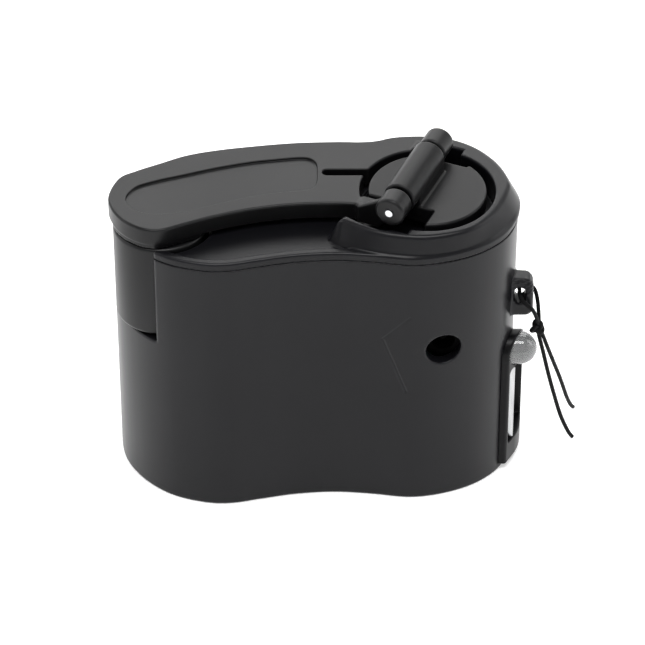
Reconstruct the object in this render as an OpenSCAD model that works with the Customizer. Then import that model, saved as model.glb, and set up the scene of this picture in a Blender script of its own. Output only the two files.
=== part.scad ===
// Hand-crank pocket charger: folding crank, gear train, generator and circuit in a two-piece case.
// Millimetres, +Z up, resting face at z = 0. The crank is folded over the deck, its grip in the notch.

/* [Case] */
// Height of the deck above the resting face
deck_z = 44.5; // [43.5:0.1:46]
// Height where the top cover meets the body shell
seam_z = 43.25; // [42.75:0.05:43.5]
// Wall thickness of the shell
wall = 1.8; // [1.5:0.1:2]
// Thickness of the shell floor
floor_t = 2.0; // [1.6:0.1:2]
// Height of the collar round the crank hub, above the deck
collar_h = 3.0; // [2.6:0.1:3.2]
// Height of the notch floor under the grip
notch_z = 28.2; // [27.8:0.1:28.4]
// Radius of the pocket the grip rests in
pocket_r = 7.6; // [7.5:0.05:7.8]

/* [Crank] */
// Radius of the turning hub disc
disc_r = 8.45; // [8.2:0.05:8.6]
// Radius of the ring groove's outer edge
groove_r = 9.65; // [9.4:0.05:9.8]
// Height of the hinge pin's axis
hinge_z = 49.7; // [49.6:0.1:50.2]
// Distance from the hub's axis to the hinge pin's axis
hinge_u = 1.75; // [1.5:0.05:2]
// Radius of the hinge barrel
barrel_r = 2.35; // [2.2:0.05:2.4]
// Radius of the hinge pin
pin_r = 0.75; // [0.7:0.05:0.8]
// Radius of the grip
grip_r = 6.85; // [6.6:0.05:6.9]

/* [Gears] */
// Gear module
gear_m = 0.4; // [0.39:0.01:0.4]
// Face width of the drive gear
drive_face = 2.8; // [2:0.1:3]

/* [Sockets] */
// Radius of the round charging socket's hole
jack_r = 2.5; // [2.4:0.05:2.6]
// Radius of the indicator lamp
lamp_r = 2.45; // [2.4:0.05:2.5]

/* [Cord] */
// Diameter of the wrist cord
cord_d = 0.6; // [0.5:0.05:0.65]

/* [Output] */
// Sub-part to draw

/* [Hidden] */
$fn = 64;

// everything is drawn about the hub and lobes, then moved so the base centre is the origin
shift = [-0.45, -0.305, 0];

black = [0.09, 0.09, 0.095];
steel = [0.72, 0.72, 0.74];
white = [0.9, 0.9, 0.87];

collar_z = deck_z + collar_h;
hub = [15, 0];
arm_dir = 156.7;
grip_c = [-23, -2.8];
arm_z = deck_z + 0.3;
notch_x = -23.8;
can_r = 8.6;
bush_r = 1.6;

// gear train: teeth and axes
drive_n = 38;
wheel_n = 36;
pinion_n = 12;
d1 = gear_m * (drive_n + pinion_n) / 2;
d2 = gear_m * (wheel_n + pinion_n) / 2;
a1 = 163.3;
a2 = 190;
a3 = 190;
ax2 = hub + d1 * [cos(a1), sin(a1)];
ax3 = ax2 + d2 * [cos(a2), sin(a2)];
ax4 = ax3 + d2 * [cos(a3), sin(a3)];

// case screws stand on these two axes, plate screws on these three
case_posts = [[3.0, -6.9], [12.6, 10.0]];
plate_posts = [[-1.5, 9.0], [9.5, -6.2], [-24.4, 3.4]];

// plan outlines, anticlockwise
body_pts = [[27.7, 0.9], [26.8, 5.6], [23.9, 10.1], [19.0, 12.9], [13.0, 13.9], [4, 14.0],
            [-5, 13.5], [-13.5, 12.5], [-20.3, 10.7], [-25.7, 7.8], [-29.0, 4.8], [-29.9, 1.5],
            [-29.0, -3.6], [-26.2, -8.1], [-22.1, -11.5], [-17.2, -13.2], [-13.3, -13.35],
            [-9.2, -12.45], [-4, -11.35], [1.9, -10.9], [7.2, -11.35], [12.8, -12.1],
            [17.6, -11.3], [22.1, -9.3], [25.5, -6.3], [27.2, -2.9]];
arm_pts = [[-30.4, -0.9], [-30.0, -4.0], [-28.3, -7.0], [-25.6, -9.1], [-22.8, -9.5], [-19.5, -8.1],
           [-15.6, -6.4], [-10.2, -4.6], [-4.4, -3.5], [1.0, -3.2], [4.6, -3.4], [6.6, -4.3],
           [8.6, -1.5], [11.6, 4.0], [14.6, 8.2], [16.9, 10.2], [17.0, 12.3], [15.0, 13.1],
           [12.5, 13.1], [10.1, 12.8], [7.8, 12.0], [5.4, 11.75], [2, 11.8], [-4, 11.55],
           [-10, 10.75], [-15.4, 9.75], [-19.65, 8.5], [-23.5, 6.5], [-26.65, 4.8], [-29.1, 3.0]];
// collar outlines: where it meets the deck and round its top
collar_base = [[1.3, -6.3], [2.6, -8.9], [6.7, -10.9], [12.9, -11.95], [17.6, -11.4], [22.1, -9.3],
               [25.5, -6.3], [27.6, -2.8], [28.35, 0.8], [28.05, 3.4], [27.0, 6.2], [25.3, 8.8],
               [22.9, 11.2], [19.8, 12.9], [16.6, 13.6], [12.5, 13.5], [13.0, 6.0], [8.0, 0.0]];
collar_top = [[2.9, -6.5], [3.1, -7.4], [8.0, -10.05], [12.9, -11.15], [16.7, -10.85], [20.95, -9.4],
              [23.9, -6.3], [25.7, -2.6], [26.85, 0.9], [26.8, 2.9], [25.85, 5.9], [24.3, 8.5],
              [22.15, 10.8], [19.2, 12.5], [16.3, 13.2], [12.5, 13.3], [13.0, 6.0], [8.0, 0.0]];
panel_pts = [[-27.9, -1.9], [-26.9, -4.2], [-24.4, -5.6], [-20.1, -5.2], [-15.9, -3.7], [-10.3, -1.6],
             [-6.0, -0.6], [-2.2, 0.0], [-0.9, 1.2], [-0.7, 4.6], [-1.0, 6.7], [-2.6, 7.8],
             [-6.4, 7.4], [-10.4, 6.7], [-15.3, 5.3], [-20.0, 3.6], [-23.6, 2.3], [-26.6, 0.7]];

function cr(a, b, c, d, s) =
    0.5 * (2 * b + (c - a) * s + (2 * a - 5 * b + 4 * c - d) * s * s
           + (3 * b - a - 3 * c + d) * s * s * s);
function crd(a, b, c, d, s) =
    0.5 * ((c - a) + 2 * (2 * a - 5 * b + 4 * c - d) * s + 3 * (3 * b - a - 3 * c + d) * s * s);
// closed curve through the points q, k steps a span, moved t along its right-hand normal
function loop(q, k, t = 0) =
    [for (i = [0:len(q) - 1]) for (j = [0:k - 1])
        let (n = len(q), a = q[(i + n - 1) % n], b = q[i], c = q[(i + 1) % n], d = q[(i + 2) % n],
             p = cr(a, b, c, d, j / k), v = crd(a, b, c, d, j / k))
        p + t * [v.y, -v.x] / norm(v)];

module place() translate(shift) children();
module body2d(t = 0) polygon(loop(body_pts, 3, t + 0.2));
module arm2d(t = 0) polygon(loop(arm_pts, 2, t));
module slab(z0, z1) translate([0, 0, z0]) linear_extrude(z1 - z0) children();
module rod(c, r, z0, z1) translate([c.x, c.y, z0]) cylinder(r = r, h = z1 - z0);
// copies n times round the axis c, the first turned by a0
module around(c, z, n, a0 = 0)
    for (i = [0:n - 1]) translate([c.x, c.y, z]) rotate([0, 0, a0 + i * 360 / n]) children();
// cross recess in a screw's head, centred at height z
module cross_recess(c, z, size)
    for (a = [0, 90]) translate([c.x, c.y, z]) rotate([0, 0, a]) cube(size, center = true);
// everything further left than x
module left_of(x, z0, z1) translate([-40, -20, z0]) cube([x + 40, 40, z1 - z0]);
// frame on the hub: x along the folded arm, y along the hinge pin
module hub_frame() translate([hub.x, hub.y, 0]) rotate([0, 0, arm_dir]) children();
// along the hinge axis; v runs from the near end (negative) to the far end
module along_pin(r, v0, v1)
    hub_frame() translate([hinge_u, -v0, hinge_z]) rotate([90, 0, 0]) cylinder(r = r, h = v1 - v0);

// ---- gears ----
function inv(a) = tan(a) * 180 / PI - a;
function half_angle(z, r) =
    let (rp = gear_m * z / 2, rb = rp * cos(20), a = acos(min(1, rb / r)))
    90 / z - 0.035 / rp * 180 / PI + inv(20) - inv(a);
function gear_pts(z) =
    let (rp = gear_m * z / 2, rb = rp * cos(20), ra = rp + 0.9 * gear_m, rr = rp - 1.25 * gear_m,
         r1 = max(rb, rr + 0.01), hr = half_angle(z, r1), hp = half_angle(z, rp),
         ha = half_angle(z, ra), thin = r1 > rr + 0.02 ? 0.8 : 1)
    [for (i = [0:z - 1]) let (c = i * 360 / z)
        for (q = [[rr, -hr * thin], [r1, -hr], [rp, -hp], [ra, -ha],
                  [ra, ha], [rp, hp], [r1, hr], [rr, hr * thin]])
            q[0] * [cos(c + q[1]), sin(c + q[1])]];
module gear(z, c, turn, z0, z1)
    translate([c.x, c.y, z0]) rotate([0, 0, turn]) linear_extrude(z1 - z0) polygon(gear_pts(z));

// ---- case ----
// pocket for the grip, widened where the grip's foot swings out
module grip_room(z0, z1) {
    rod(grip_c, pocket_r, z0, z1);
    rod(grip_c + 2.5 * [cos(arm_dir), sin(arm_dir)], pocket_r - 0.2, z0, z1);
}
module body_shell() color(black) place() {
    difference() {
        union() {
            difference() {
                slab(0, seam_z) body2d();
                slab(floor_t, seam_z + 1) body2d(-wall);
            }
            // grip pocket and the wall that closes the case beside it
            intersection() {
                slab(notch_z - 1.2, seam_z) body2d();
                union() {
                    rod(grip_c, pocket_r + 1.2, notch_z - 1.2, seam_z);
                    left_of(notch_x + 1.2, notch_z - 1.2, seam_z + 1);
                }
            }
            for (c = case_posts) rod(c, 2.6, floor_t - 0.5, 21.8);
            for (c = plate_posts) rod(c, 1.9, floor_t - 0.5, 20.4);
            // seat ring of the generator
            difference() {
                rod(ax4, can_r + 0.7, floor_t - 0.5, 5.5);
                rod(ax4, can_r + 0.05, 4, 6);
                rod(ax4, 6, floor_t, 6);
            }
            // circuit board guides
            translate([12.2, 0.6, floor_t - 0.5]) cube([2.6, 3.4, 10.5]);
            translate([24.6, 0.6, floor_t - 0.5]) cube([2.6, 3.4, 3]);
            // lanyard lug
            difference() {
                hull() {
                    translate([26.4, -3.6, 27.2]) cube([0.6, 2.8, 7.0]);
                    for (z = [28.4, 32.6]) translate([29.3, -0.8, z]) rotate([90, 0, 0])
                        cylinder(r = 1.2, h = 2.8);
                }
                translate([24.0, -5, 26]) cube([2.4, 6, 9]);
            }
        }
        // notch: pocket bore and the open left end
        grip_room(notch_z, seam_z + 1);
        left_of(notch_x, notch_z, seam_z + 1);
        for (c = case_posts) {
            rod(c, 1.7, -1, 18);
            rod(c, 1.05, 17.5, 22.5);
        }
        for (c = plate_posts) rod(c, 0.62, 14, 21);
        // board slots
        translate([13.4, 1.66, floor_t]) cube([3, 1.28, 12]);
        translate([24, 1.66, floor_t]) cube([1.75, 1.28, 4]);
        // sockets, lamp and lug eye
        translate([24, -4.25, 4.65]) cube([6, 6.2, 13.6]);
        translate([17.3, -8, 27.5]) rotate([90, 0, 0]) cylinder(r = jack_r, h = 8);
        translate([23, -3, 21]) rotate([0, 90, 0]) cylinder(r = lamp_r + 0.05, h = 8);
        for (z = [30.3, 31.5]) translate([28.5, 1, z]) rotate([90, 0, 0]) cylinder(r = 0.8, h = 6);
        translate([27.7, -5, 30.3]) cube([1.6, 6, 1.2]);
    }
}

module faceplate() color([0.05, 0.05, 0.055]) place() difference() {
    intersection() {
        slab(1, 24.3) intersection() {
            body2d(2.5);
            polygon([[20, -6], [27.15, -6], [29.6, 1.0], [29.6, 4.0], [20, 4.0]]);
        }
        // straight round the power socket, rounded over the lamp
        translate([20, 0, 0]) rotate([90, 0, 90]) linear_extrude(12) hull() {
            translate([-6, 1]) square([10, 17.3]);
            translate([-3.15, 21]) circle(r = 2.85);
        }
    }
    slab(0, 26) body2d();
    translate([24, -5.4, 4.65]) cube([8, 7.35, 13.6]);
    translate([23, -3, 21]) rotate([0, 90, 0]) cylinder(r = lamp_r + 0.05, h = 9);
}

// solid between two outlines of the same number of points
module loft(a, b, z0, z1) {
    n = len(a);
    polyhedron(points = concat([for (p = a) [p.x, p.y, z0]], [for (p = b) [p.x, p.y, z1]]),
               faces = concat([[for (i = [0:n - 1]) i]], [[for (i = [n - 1:-1:0]) n + i]],
                              [for (i = [0:n - 1]) [i, n + i, (i + 1) % n]],
                              [for (i = [0:n - 1]) [(i + 1) % n, n + i, n + (i + 1) % n]]));
}
module arm_gap(t) {
    slab(deck_z, collar_z + 1) arm2d(t);
    for (s = [0.8, 1.6, 2.4]) translate(s * [cos(arm_dir), sin(arm_dir), 0])
        slab(deck_z, collar_z + 1) arm2d(t);
}
// raised collar round the hub, sloping in from the deck's edge, open towards the arm
module collar() difference() {
    loft(loop(collar_base, 4), loop(collar_top, 4), deck_z - 0.3, collar_z);
    rod(hub, groove_r, deck_z - 1, collar_z + 1);
    arm_gap(0.45);
    // room for the knuckle ends and for the arm's near side
    hub_frame() translate([-1.2, -10.9, deck_z]) cube([7.4, 21.6, 5]);
    slab(deck_z, collar_z + 1)
        polygon([[3, -5.8], [5.3, -7.8], [8.1, -9.4], [11, -9.6], [11, -2], [4, -2]]);
}
module top_cover() color(black) place() difference() {
    union() {
        slab(seam_z, deck_z - 0.5) body2d();
        slab(deck_z - 0.5, deck_z) body2d(-0.25);
        difference() {
            slab(seam_z - 2, seam_z) body2d(-wall - 0.1);
            slab(seam_z - 3, seam_z) body2d(-wall - 1.1);
            rod(grip_c, pocket_r + 1.5, seam_z - 3, seam_z);
            left_of(notch_x + 1.5, seam_z - 3, seam_z);
        }
        slab(seam_z - 0.5, seam_z) difference() {
            body2d(-wall - 0.1);
            translate(grip_c) circle(r = pocket_r + 1.5);
            translate([-40, -20]) square([notch_x + 41.5, 40]);
        }
        rod(hub, 5.2, 41.2, seam_z);
        for (c = [ax2, ax3]) rod(c, 1.9, 41.5, seam_z);
        for (c = case_posts) rod(c, 1.85, 21.95, seam_z);
        collar();
    }
    grip_room(seam_z - 3, collar_z);
    left_of(notch_x, seam_z - 3, collar_z);
    rod(hub, 3.05, 40, collar_z);
    for (c = [ax2, ax3]) rod(c, 0.77, 40, 42.8);
    for (c = case_posts) rod(c, 0.9, 21, 30);
}

module case_screws() color(steel) place() for (c = case_posts) difference() {
    union() {
        rod(c, 1.6, 16.6, 18);
        rod(c, 1.0, 18, 21.7);
        rod(c, 0.88, 21.7, 28.5);
    }
    cross_recess(c, 16.9, [2.0, 0.4, 0.8]);
}

// ---- crank ----
module crank_hub() color(black) place() difference() {
    union() {
        rod(hub, disc_r, deck_z + 0.3, collar_z);
        // saddle and middle barrel
        hub_frame() translate([hinge_u - barrel_r, -5.0, collar_z - 1])
            cube([2 * barrel_r, 9.4, hinge_z - collar_z + 1]);
        along_pin(barrel_r, -6.45, 5.0);
        rod(hub, 3.0, 41.0, deck_z + 0.5);
        difference() {
            rod(hub, 2.0, 38.2, 41.5);
            translate([hub.x + 1.5, hub.y - 3, 37]) cube([3, 6, 4]);
        }
    }
    // reliefs under the arm's knuckles
    hub_frame() translate([-2.7, 4.4, deck_z]) cube([14, 8, collar_h + 0.01]);
    hub_frame() translate([-3.2, -12.25, deck_z]) cube([14, 5, collar_h + 0.01]);
    along_pin(barrel_r, 5.3, 9);
    along_pin(pin_r + 0.01, -7, 8);
    rod(hub, 0.9, 37, 43);
}

module web(v0, v1, tip, r)
    hub_frame() translate([0, -v0, 0]) rotate([90, 0, 0]) linear_extrude(v1 - v0)
        polygon([[hinge_u, hinge_z], [hinge_u + r, hinge_z], [tip, collar_z], [tip, arm_z],
                 [hinge_u + 2.65, arm_z], [hinge_u, hinge_z - r]]);
module crank_arm() color(black) place() difference() {
    union() {
        difference() {
            slab(arm_z, collar_z) arm2d();
            rod(hub, groove_r, arm_z - 1, collar_z + 1);
        }
        // near branch reaches in to the knuckle
        hub_frame() translate([4.4, 4.9, arm_z]) cube([3.6, 2.6, collar_z - arm_z]);
        web(-7.8, -6.85, 7.6, 2.2);
        along_pin(2.2, -9.9, -6.85);
        along_pin(1.9, -10.2, -9.8);
        // far knuckle on a foot that runs out to the band
        web(7.6, 8.5, 5.9, 2.1);
        hub_frame() translate([1.5, -10.4, arm_z]) cube([4.4, 2.8, collar_z - arm_z]);
        hub_frame() translate([1.0, -8.5, collar_z - 0.6]) cube([1.5, 0.9, 1.2]);
        along_pin(2.1, 5.6, 9.2);
        // boss over the grip, kept under the arm
        intersection() {
            rod(grip_c, 6.9, deck_z - 0.3, arm_z + 0.5);
            slab(deck_z - 0.5, arm_z + 0.6) arm2d(-0.05);
        }
    }
    // recessed panel and keyhole slot
    slab(collar_z - 0.35, collar_z + 1) polygon(loop(panel_pts, 2));
    translate([0.7, 3.5, arm_z - 1]) cube([7.3, 1.4, 6]);
    translate([0.7, 4.2, arm_z - 1]) cylinder(r = 0.7, h = 6);
    along_pin(pin_r + 0.05, -9.65, 12);
    along_pin(0.6, -12, -9);
    rod(grip_c, 1.0, deck_z - 1, 46.6);
}
module hinge_pin() color(steel) place() {
    along_pin(pin_r, -9.6, 9.1);
    along_pin(0.55, -10.3, -9.5);
}

module grip() color(black) place() difference() {
    union() {
        rod(grip_c, grip_r, 29.2, 43.5);
        translate([grip_c.x, grip_c.y, 28.6]) cylinder(r1 = grip_r - 0.6, r2 = grip_r, h = 0.6);
        translate([grip_c.x, grip_c.y, 43.5]) cylinder(r1 = grip_r, r2 = grip_r - 0.5, h = 0.5);
    }
    rod(grip_c, 1.55, 27, 45);
    rod(grip_c, 2.8, 27, 31.2);
}

module grip_screw() color(steel) place() difference() {
    union() {
        rod(grip_c, 2.4, 29.4, 31.1);
        rod(grip_c, 1.5, 31, deck_z - 0.3);
        rod(grip_c, 0.98, deck_z - 0.4, 46.5);
    }
    cross_recess(grip_c, 29.5, [3.2, 0.6, 1.2]);
}

// ---- gear train ----
module drive_gear() color(white) place() difference() {
    gear(drive_n, hub, a1, 38.2, 38.2 + drive_face);
    difference() {
        rod(hub, 2.01, 38, 42);
        translate([hub.x + 1.51, hub.y - 3, 37]) cube([3, 6, 6]);
    }
    around(hub, 38, 6, 30) translate([4.7, 0, 0]) cylinder(r = 1.3, h = 5);
}
module spindle_screw() color(steel) place() difference() {
    union() {
        rod(hub, 2.9, 37.7, 38.2);
        rod(hub, 1.7, 36.6, 37.7);
        rod(hub, 0.88, 38.2, 42.6);
    }
    cross_recess(hub, 36.6, [2.4, 0.45, 1.2]);
}
module second_gear() color(white) place() difference() {
    union() {
        gear(pinion_n, ax2, a1 + 180 + 180 / pinion_n, 37.9, 41.2);
        rod(ax2, 1.7, 31, 38);
        gear(wheel_n, ax2, a2, 29, 31.2);
    }
    rod(ax2, 0.8, 28, 42);
    around(ax2, 28, 6) translate([4.4, 0, 0]) cylinder(r = 1.2, h = 4);
}
module third_gear() color(white) place() difference() {
    union() {
        gear(pinion_n, ax3, a2 + 180 + 180 / pinion_n, 28.7, 31.5);
        rod(ax3, 1.7, 26, 28.8);
        gear(wheel_n, ax3, a3, 24.2, 26.2);
    }
    rod(ax3, 0.8, 23, 33);
    around(ax3, 23, 6) translate([4.4, 0, 0]) cylinder(r = 1.2, h = 4);
}
module gear_axles() color(steel) place() for (c = [ax2, ax3]) rod(c, pin_r, 20.8, 42.6);
module rotor_pinion() color([0.8, 0.66, 0.32]) place() difference() {
    gear(pinion_n, ax4, a3 + 180 + 180 / pinion_n, 23.9, 26.5);
    rod(ax4, 0.76, 23, 28);
}

module gear_plate() color([0.2, 0.2, 0.21]) place() difference() {
    slab(20.4, 22.4) polygon([[-26.2, 1.2], [-24, -3.2], [-13.5, -5.0], [-4.0, -5.6], [7.8, -8.4],
                              [11.4, -7.2], [11.2, -4.4], [8.6, 5.4], [2.0, 11.0], [-3.4, 11.0],
                              [-14, 5.2], [-23.6, 5.8], [-26.2, 4.6]]);
    rod(case_posts[0], 3.0, 20, 23);
    rod(ax4, bush_r + 0.01, 20, 23);
    for (c = [ax2, ax3]) rod(c, 0.76, 20.8, 23);
    for (c = plate_posts) rod(c, 0.85, 20, 23);
}
module plate_screws() color(steel) place() for (c = plate_posts) difference() {
    union() {
        rod(c, 1.45, 22.4, 23.5);
        rod(c, 0.8, 20.4, 22.4);
        rod(c, 0.6, 15, 20.4);
    }
    cross_recess(c, 23.5, [1.9, 0.35, 0.9]);
}

// ---- generator ----
module generator_case() color(steel) place() difference() {
    rod(ax4, can_r, 4, 20.4);
    rod(ax4, can_r - 0.5, 4.8, 21);
    rod(ax4, bush_r + 0.01, 3, 6);
}
module stator_core() color([0.45, 0.46, 0.48]) place() difference() {
    union() {
        difference() {
            rod(ax4, 8.08, 7, 17);
            rod(ax4, 7.1, 6, 18);
        }
        around(ax4, 7, 6) translate([4.0, -0.9, 0]) cube([3.5, 1.8, 10]);
        difference() {
            rod(ax4, 4.7, 7, 17);
            around(ax4, 6, 6, 30) translate([2, -0.8, 0]) cube([4, 1.6, 12]);
        }
    }
    rod(ax4, 4.0, 6, 18);
}
module coils() color([0.72, 0.36, 0.16]) place()
    around(ax4, 0, 6) difference() {
        translate([4.8, -1.75, 6.2]) cube([1.9, 3.5, 11.6]);
        translate([4.0, -0.92, 6.98]) cube([4, 1.84, 10.04]);
    }
module rotor_magnet() color([0.3, 0.3, 0.32]) place() difference() {
    rod(ax4, 3.7, 7, 17);
    rod(ax4, 0.76, 6, 18);
}
module rotor_shaft() color(steel) place() rod(ax4, pin_r, 4.2, 26.8);
module bushes() color([0.8, 0.6, 0.3]) place() {
    difference() {
        rod(ax4, bush_r, 4.0, 5.6);
        rod(ax4, 0.79, 3, 7);
    }
    difference() {
        rod(ax4, bush_r, 20.4, 22.4);
        rod(ax4, 0.79, 19, 24);
    }
}
module terminal_block() color([0.12, 0.12, 0.12]) place() difference() {
    translate([ax4.x + 7.2, 0.4, 12]) cube([2.4, 3.8, 6]);
    rod(ax4, can_r, 10, 20);
}
module lead_wires() color([0.7, 0.1, 0.08]) place() for (z = [13.5, 16.5])
    translate([ax4.x + 9.6, 2.3, z]) rotate([0, 90, 0]) cylinder(r = 0.45, h = 13.5 - ax4.x - 9.6);

// ---- circuit ----
module circuit_board() color([0.08, 0.32, 0.16]) place()
    translate([13.5, 1.7, floor_t]) cube([12.1, 1.2, 32]);
module usb_shell() color(steel) place() difference() {
    translate([14.8, -4.0, 4.9]) cube([13.4, 5.7, 13.1]);
    translate([15.3, -3.65, 5.25]) cube([20, 5.0, 12.4]);
}
module usb_tongue() color(white) place() union() {
    translate([15.3, -3.65, 5.25]) cube([2.2, 5.0, 12.4]);
    translate([17.4, -0.5, 5.9]) cube([9.6, 1.85, 11.1]);
}
module usb_contacts() color([0.85, 0.7, 0.35]) place() for (z = [8.0, 10.3, 12.6, 14.9])
    translate([18, -0.7, z - 0.5]) cube([8.4, 0.2, 1.0]);
module charge_jack() color([0.06, 0.06, 0.06]) place() difference() {
    union() {
        translate([14.0, -7.4, 24.3]) cube([6.6, 9.1, 6.4]);
        translate([17.3, -7.0, 27.5]) rotate([90, 0, 0]) cylinder(r = jack_r - 0.05, h = 2.2);
    }
    translate([17.3, -2, 27.5]) rotate([90, 0, 0]) difference() {
        cylinder(r = 1.75, h = 12);
        cylinder(r = 0.55, h = 6.4);
    }
}
module lamp() color([0.92, 0.94, 0.96]) place() {
    translate([22.7, -3, 21]) rotate([0, 90, 0]) cylinder(r = 2.85, h = 1.0);
    translate([23.6, -3, 21]) rotate([0, 90, 0]) cylinder(r = lamp_r, h = 5.25);
    intersection() {
        translate([28.85, -3, 21]) sphere(r = lamp_r);
        translate([28.8, -7, 17]) cube([4, 8, 8]);
    }
    for (z = [19.9, 22.1]) {
        translate([21.2, -3, z]) rotate([0, 90, 0]) cylinder(r = 0.25, h = 1.6);
        translate([21.2, 1.7, z]) rotate([90, 0, 0]) cylinder(r = 0.25, h = 4.7);
        translate([21.2, -3, z]) sphere(r = 0.25);
    }
}
module diodes() color([0.1, 0.1, 0.1]) place() for (x = [15.2, 18.2, 21.2, 24.2])
    translate([x - 1.1, 2.9, 20.5]) cube([2.2, 2.1, 4.2]);
module capacitor() color([0.12, 0.16, 0.35]) place()
    translate([18.4, 9.2, 13]) rotate([90, 0, 0]) cylinder(r = 3.1, h = 6.3);
module regulator() color([0.1, 0.1, 0.1]) place() union() {
    translate([16.0, 2.9, 28.0]) cube([4.0, 1.5, 4.8]);
    for (z = [28.4, 29.7, 31.0, 32.2]) translate([15.2, 2.9, z]) cube([5.6, 0.5, 0.35]);
}

// ---- wrist cord ----
// end on the table, up through the knot, round the lug, back through the knot, down to the other end
cord_route = [[38.0, 8.2, 0.38], [37.6, 7.4, 1.4], [36.8, 5.8, 4.2], [35.5, 3.3, 9.8], [34.2, 1.1, 14.8],
              [33.0, -0.9, 19.4], [32.0, -2.0, 23.0], [31.4, -2.5, 25.0], [31.0, -3.5, 27.0],
              [30.3, -4.2, 29.0], [29.0, -4.25, 30.4], [28.5, -3.4, 30.95], [28.5, -2.2, 31.0],
              [28.5, -1.0, 31.0], [28.9, -0.25, 30.9], [29.9, -0.15, 30.5], [30.8, -0.5, 29.8],
              [31.2, -1.2, 28.6], [31.4, -1.9, 27.0], [31.5, -2.4, 25.2], [31.5, -2.3, 23.2],
              [32.3, -1.9, 19.4], [33.3, -1.3, 14.6], [34.3, -0.6, 10.2], [35.5, 0.2, 5.4],
              [36.8, 0.9, 1.7], [37.5, 1.2, 0.38]];
cord_k = 3;
function route_at(q, i, s) =
    let (n = len(q), a = q[max(i - 1, 0)], b = q[i], c = q[min(i + 1, n - 1)], d = q[min(i + 2, n - 1)])
    cr(a, b, c, d, s);
function cord_pts(q) = concat(
    [for (i = [0:len(q) - 2]) for (j = [0:cord_k - 1]) route_at(q, i, j / cord_k)], [q[len(q) - 1]]);
function unit(v) = v / norm(v);
function tangents(p) = [for (i = [0:len(p) - 1]) unit(p[min(i + 1, len(p) - 1)] - p[max(i - 1, 0)])];
function carry(t, i, u) = i == 0 ? u : let (w = carry(t, i - 1, u), r = w - (w * t[i]) * t[i]) unit(r);
module tube(p, d, m) {
    t = tangents(p);
    n = len(p);
    pts = [for (i = [0:n - 1]) let (u = carry(t, i, unit(cross(t[0], [0, 0, 1]))), v = cross(t[i], u))
           for (k = [0:m - 1]) p[i] + d / 2 * (cos(k * 360 / m) * u + sin(k * 360 / m) * v)];
    faces = concat([[for (k = [0:m - 1]) k]],
                   [for (i = [0:n - 2]) for (k = [0:m - 1])
                       [i * m + k, (i + 1) * m + k, (i + 1) * m + (k + 1) % m, i * m + (k + 1) % m]],
                   [[for (k = [m - 1:-1:0]) (n - 1) * m + k]]);
    polyhedron(points = pts, faces = faces);
}
module lanyard_cord() color([0.03, 0.03, 0.03]) place() tube(cord_pts(cord_route), cord_d, 8);
module lanyard_knot() color([0.03, 0.03, 0.03]) place() translate([31.6, -2.3, 24.3])
    rotate([0, 70, 20]) rotate_extrude() translate([0.95, 0]) circle(r = 0.34, $fn = 16);

body_shell();
top_cover();
faceplate();
case_screws();
crank_hub();
crank_arm();
hinge_pin();
grip();
grip_screw();
drive_gear();
spindle_screw();
second_gear();
third_gear();
gear_axles();
gear_plate();
plate_screws();
generator_case();
stator_core();
coils();
rotor_magnet();
rotor_shaft();
rotor_pinion();
bushes();
terminal_block();
lead_wires();
circuit_board();
usb_shell();
usb_tongue();
usb_contacts();
charge_jack();
lamp();
diodes();
capacitor();
regulator();
lanyard_cord();
lanyard_knot();
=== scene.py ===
"""Looks of a hand-crank pocket charger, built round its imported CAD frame. Lengths in the maths are the
CAD's millimetres, and become metres in the row frame when a mesh is made."""

import math

import bmesh
import bpy
import numpy as np
from mathutils import Matrix, Vector


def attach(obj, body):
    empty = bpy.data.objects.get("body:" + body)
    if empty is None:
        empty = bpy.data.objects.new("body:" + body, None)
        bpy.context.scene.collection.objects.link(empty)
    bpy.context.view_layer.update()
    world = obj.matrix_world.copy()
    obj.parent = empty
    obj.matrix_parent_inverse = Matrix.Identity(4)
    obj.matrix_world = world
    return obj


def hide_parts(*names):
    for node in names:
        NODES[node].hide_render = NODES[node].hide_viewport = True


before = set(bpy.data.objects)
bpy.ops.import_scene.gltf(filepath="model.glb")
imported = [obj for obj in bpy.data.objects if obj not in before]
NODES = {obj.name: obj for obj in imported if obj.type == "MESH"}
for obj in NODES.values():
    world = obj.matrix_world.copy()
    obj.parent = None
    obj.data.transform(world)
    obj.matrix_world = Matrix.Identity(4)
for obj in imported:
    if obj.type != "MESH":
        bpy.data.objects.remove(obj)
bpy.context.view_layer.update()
SHIFT = np.array([-0.45, -0.305, 0.0])
scene = bpy.context.scene


def to_frame(p):
    """Design millimetres to row frame metres."""
    return (np.asarray(p, float) + SHIFT) * 0.001


# ---------------------------------------------------------------- camera
CAMERA_HEIGHT_DEG, CAMERA_ROLL_DEG = 38.459, -0.128
CAMERA_DISTANCE = 0.554888
LENS_MM, SENSOR_MM = 211.623, 36.0
AIM_Z = 23.3095
el, roll = math.radians(CAMERA_HEIGHT_DEG), math.radians(CAMERA_ROLL_DEG)
back = Vector((0.0, -math.cos(el), math.sin(el)))
right, up = Vector((1.0, 0.0, 0.0)), Vector((0.0, math.sin(el), math.cos(el)))
side = right * math.cos(roll) + up * math.sin(roll)
top = up * math.cos(roll) - right * math.sin(roll)
camera = bpy.data.objects.new("camera", bpy.data.cameras.new("camera"))
scene.collection.objects.link(camera)
camera.data.sensor_width = SENSOR_MM
camera.data.lens = LENS_MM
camera.data.clip_start, camera.data.clip_end = 0.02, 20.0
spot = Vector(to_frame([0.0, 0.0, AIM_Z])) + back * CAMERA_DISTANCE
camera.matrix_world = Matrix(
    (
        (side.x, top.x, back.x, spot.x),
        (side.y, top.y, back.y, spot.y),
        (side.z, top.z, back.z, spot.z),
        (0, 0, 0, 1),
    )
)
scene.camera = camera

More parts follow.
